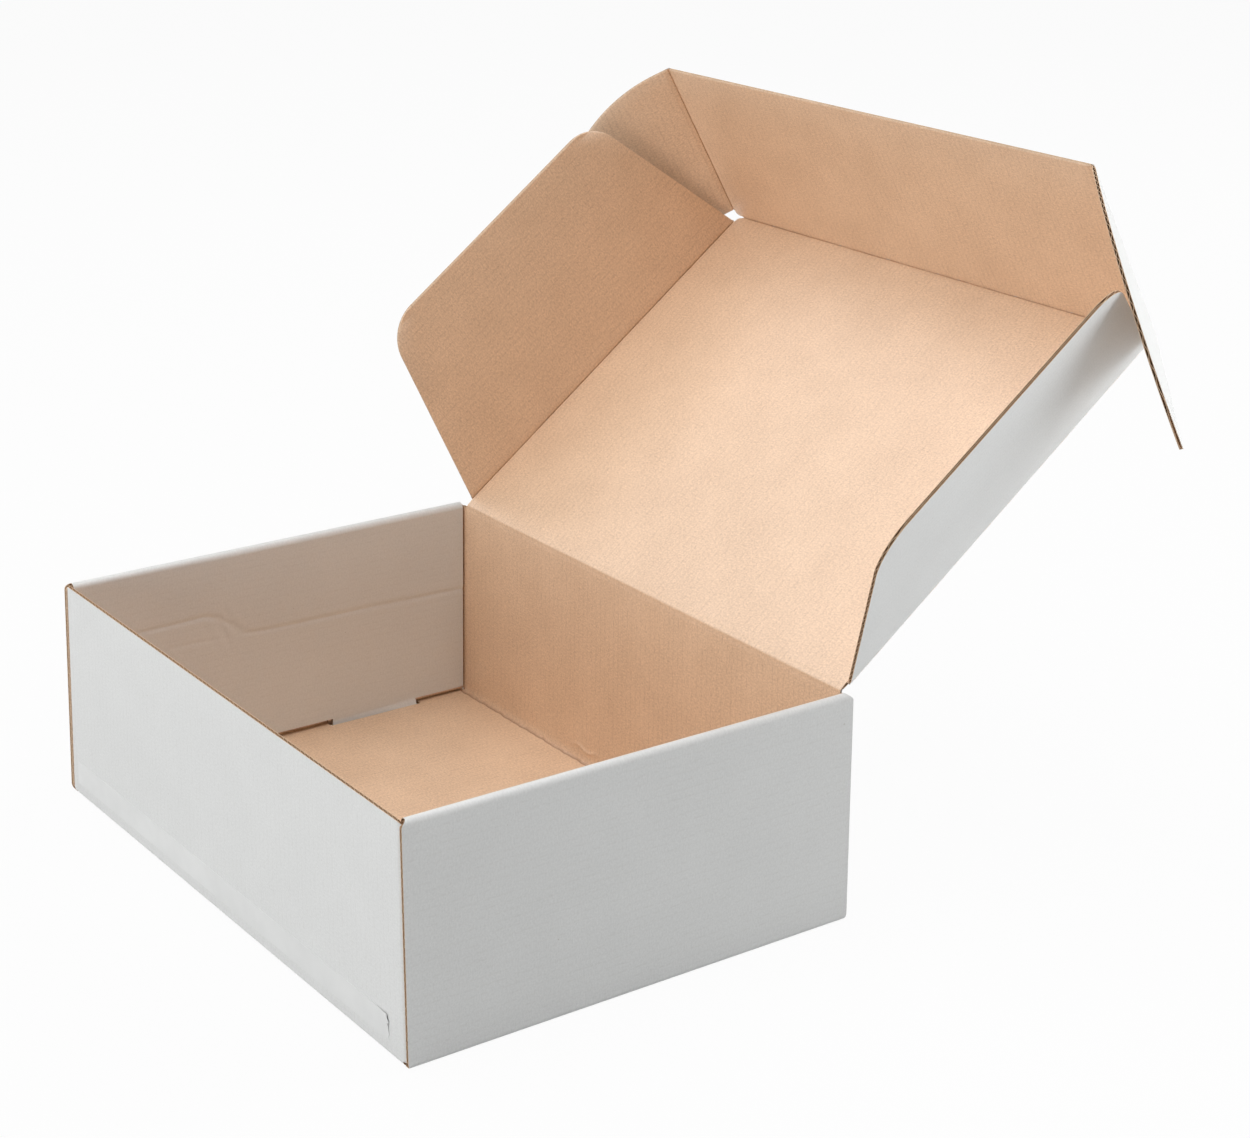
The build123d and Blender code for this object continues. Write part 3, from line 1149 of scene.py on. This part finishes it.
def wing_piece(name, panel, side, reach, near, stop):
    """Side flap or ear: near and stop give the edges as (start, climb, corner radius)."""
    half = panel.half
    fine = [half + reach - fine_step * step ** 2 for step in (1, 2, 3, 4, 5)]
    columns = flute_columns(half + crease_room, half + reach, fine)
    if side < 0:
        columns = -columns[::-1]
    far = np.abs(columns) - half
    low = near[0] + slanted_edge(far, reach, near[1] / reach, near[2])
    high = stop[0] - slanted_edge(far, reach, stop[1] / reach, stop[2])
    close = np.linspace(0.0, edge_width / np.max(high - low), 4)
    shares = np.concatenate([close, np.linspace(0.0, 1.0, wing_rows)[1:-1], 1.0 - close[::-1]])
    along = panel.start[1] + low[:, None] + (high - low)[:, None] * shares

    def crush(a, b):
        to_edge = np.minimum(np.minimum(b - b[:, :1], b[:, -1:] - b), half + reach - np.abs(a))
        cut = pressed(to_edge, edge_share if side < 0 else 1.0)
        return np.minimum(crushed(np.abs(a) - half - crease_room, b), cut)

    board_piece(name, columns, along, panel.place, panel.body, crush=crush, node=panel.body)


for panel, parent, side in wings:
    if parent is lid:
        wing_piece("lid_" + panel.body, panel, side, side_flap_reach,
                   (crease_end, side_flap_near_rise, side_flap_round),
                   (side_crease_stop, side_flap_far_fall, side_flap_round))
    else:
        wing_piece("tuck_" + panel.body, panel, side, ear_reach,
                   (crease_end, -ear_foot_fall, ear_foot_round), (tuck_height, 0.0, ear_sweep))
print("wings:", {n: t for n, t in made_triangles.items() if "flap" in n or "ear" in n})

# %% [markdown]
# ## Creases that bend
# At a crease the board is pressed flat and its two liners run on round the fold. Two separate
# panels would show a slit there, so each crease gets two skins: the brown liner on one side
# and the white one on the other. Round the outside of a fold the section is a soft curve from
# the edge of one panel to the edge of the next. On the inside the brown liner is pinched into
# a narrow cleft, which is the dark line that a folded crease shows. Both are shaped for the fold as it
# stands.

# %% Crease skins
skin_steps = 8
skin_spacing = 1.6 * mm
skin_wrinkle_share = 0.16
liner = board_sizes["Liner"]
cleft_half = 0.38 * mm
knee_pull = 2.5
cleft_depth = 0.85 * mm


def crease_skin(name, bodies, first, second, span, blank, brown, finish):
    """Liner across a crease; first and second are (direction into the panel, inward normal)."""
    corner, along = span[0], span[1]
    places = np.linspace(span[2], span[3], round((span[3] - span[2]) / skin_spacing) + 1)
    face = 1.0 if brown else -1.0
    depth = board / 2 * crush_share
    bend = math.acos(np.clip(first[1] @ second[1], -1.0, 1.0))
    bisector = (first[1] + second[1]) / np.linalg.norm(first[1] + second[1])
    share = np.linspace(0.0, 1.0, skin_steps + 1)[:, None]
    pinched = brown and first[0] @ second[1] > 0.0

    def section(height):
        begin = crease_room * first[0] + face * height * first[1]
        end = crease_room * second[0] + face * height * second[1]
        knee = face * height / math.cos(bend / 2) * bisector
        if not pinched:
            parts = (1 - share) ** 2, 2 * knee_pull * share * (1 - share), share ** 2
            return (parts[0] * begin + parts[1] * knee + parts[2] * end) / sum(parts)
        lips = [knee + cleft_half * side[0] for side in (first, second)]
        floor = [knee + cleft_half / 3 * side[0] - cleft_depth * bisector for side in (first, second)]
        return np.array([begin, (begin + lips[0]) / 2, lips[0], (2 * lips[0] + floor[0]) / 3, floor[0],
                         floor[1], (2 * lips[1] + floor[1]) / 3, lips[1], end])

    outer, inner = section(depth), section(depth - liner)
    ring = np.concatenate([outer, inner[::-1]])
    swell = np.sin(math.pi * share[:, 0]) ** 2
    swell = np.concatenate([swell, swell[::-1]])
    wrinkle = waver(places, 17 * mm, 7.1 * mm, 4.3 * mm, 41 * mm) * skin_wrinkle_share * depth
    push = face * wrinkle[:, None, None] * swell[:, None] * (first[0] if pinched else bisector)
    points = corner + places[:, None, None] * along + ring + push
    count = len(ring)
    number = np.arange(len(places) * count).reshape(len(places), count)
    following = np.roll(number, -1, axis=1)
    faces = np.stack([number[:-1], following[:-1], following[1:], number[1:]], axis=-1)
    caps = [number[0].tolist(), number[-1].tolist()]
    offset = np.concatenate([share[:, 0], share[::-1, 0]]) * 2 * crease_room - crease_room
    sheet = np.zeros(points.shape)
    sheet[..., blank["along"]] = places[:, None] + blank["shift"]
    sheet[..., 1 - blank["along"]] = blank["centre"] + blank["sense"] * offset
    skin = paper_piece(name, points, faces.reshape(-1, 4).tolist() + caps, sheet, finish)
    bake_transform(skin)


up = np.array([0.0, 0.0, 1.0])
front = np.array([0.0, -1.0, 0.0])
creases = {
    "lid": (("tray", "lid"), (-up, front), (lid.along, lid.inward),
            (hinge, right, -lid_edge, lid_edge),
            {"along": 0, "shift": 0.0, "centre": 0.0, "sense": 1.0}),
    "tuck_flap": (("lid", "tuck_flap"), (-lid.along, lid.inward), (tuck.along, tuck.inward),
                  (tuck_hinge, right, relief - lid_edge, lid_edge - relief),
                  {"along": 0, "shift": 0.0, "centre": lid_length, "sense": 1.0}),
}
for panel, parent, side in wings:
    stop = side_crease_stop if parent is lid else tuck_height
    creases[panel.body] = ((parent.body, panel.body), (-side * parent.across, parent.inward),
                           (side * panel.across, panel.inward),
                           (panel.corner, panel.along, crease_end, stop),
                           {"along": 1, "shift": panel.start[1], "centre": panel.start[0],
                            "sense": side})
for name, shape in creases.items():
    crease_skin(name + "_crease_inside", *shape, brown=True, finish=kraft_liner)
    crease_skin(name + "_crease_outside", *shape, brown=False, finish=white_liner)
print("creases:", list(creases))

# %% [markdown]
# ## The sealing strip
# A narrow strip of smooth white paper is stuck along the foot of the front wall. It is a thin
# closed sheet that follows the wall's lean. Its right end came loose a little and curls.


# %% Sealing strip
strip_columns = 111
strip_rows = 9
ragged_length = 4.0 * mm
ragged_depth = 2.2 * mm
curl_length = 12.0 * mm
curl_height = 0.5 * mm


def strip_finish():
    material, bench, shader = new_material("strip paper")
    grain = bench.node("ShaderNodeGroup", node_tree=paper_grain).outputs
    colour = bench.blend(grain["Cloud"], tone(217, 218, 217), tone(226, 227, 226))
    bench.join(colour, shader.inputs["Base Color"])
    bench.join(bench.ramp(grain["Fibre"], 0.0, 1.0, 0.3, 0.42), shader.inputs["Roughness"])
    return material


def sealing_strip():
    low, high = (np.array(corner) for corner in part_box("tape_strip"))
    thickness = high[1] - low[1]
    columns = np.linspace(low[0], high[0], strip_columns)
    rows = np.linspace(low[2], high[2], strip_rows)
    x, z = np.meshgrid(columns, rows, indexing="ij")
    rise = (z - low[2]) / (high[2] - low[2])
    ragged = smooth((x - high[0] + ragged_length) / ragged_length)
    x = x - ragged * ragged_depth * (0.5 + 0.5 * waver(z, 4.1 * mm, 2.3 * mm))
    curl = smooth((x - high[0] + curl_length) / curl_length) * smooth(1.4 * rise - 0.3) * curl_height
    back = np.full(x.shape, -half_depth) - curl
    face = back - thickness
    points = np.concatenate([settle(triple(x, y, z)).reshape(-1, 3)
                             for y in (face, back)])
    number = np.arange(x.size).reshape(x.shape)
    front_cells = net_cells(number).reshape(-1, 4)
    back_cells = front_cells[:, ::-1] + x.size
    rim = np.concatenate([number[:, 0], number[-1, 1:], number[-2::-1, -1], number[0, -2:0:-1]])
    following = np.roll(rim, -1)
    sides = np.stack([rim, rim + x.size, following + x.size, following], axis=-1)
    faces = np.concatenate([front_cells, back_cells, sides]).tolist()
    blank = triple(x, z, np.zeros_like(x)).reshape(-1, 3)
    strip = paper_piece("sealing_strip", points, faces, np.concatenate([blank, blank]), strip_finish())
    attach(strip, "tray")
    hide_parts("tape_strip")


sealing_strip()
print("strip triangles:", made_triangles["sealing_strip"])

# %% Count the triangles
print("triangles in all:", sum(made_triangles.values()), "largest:", max(made_triangles.values()))
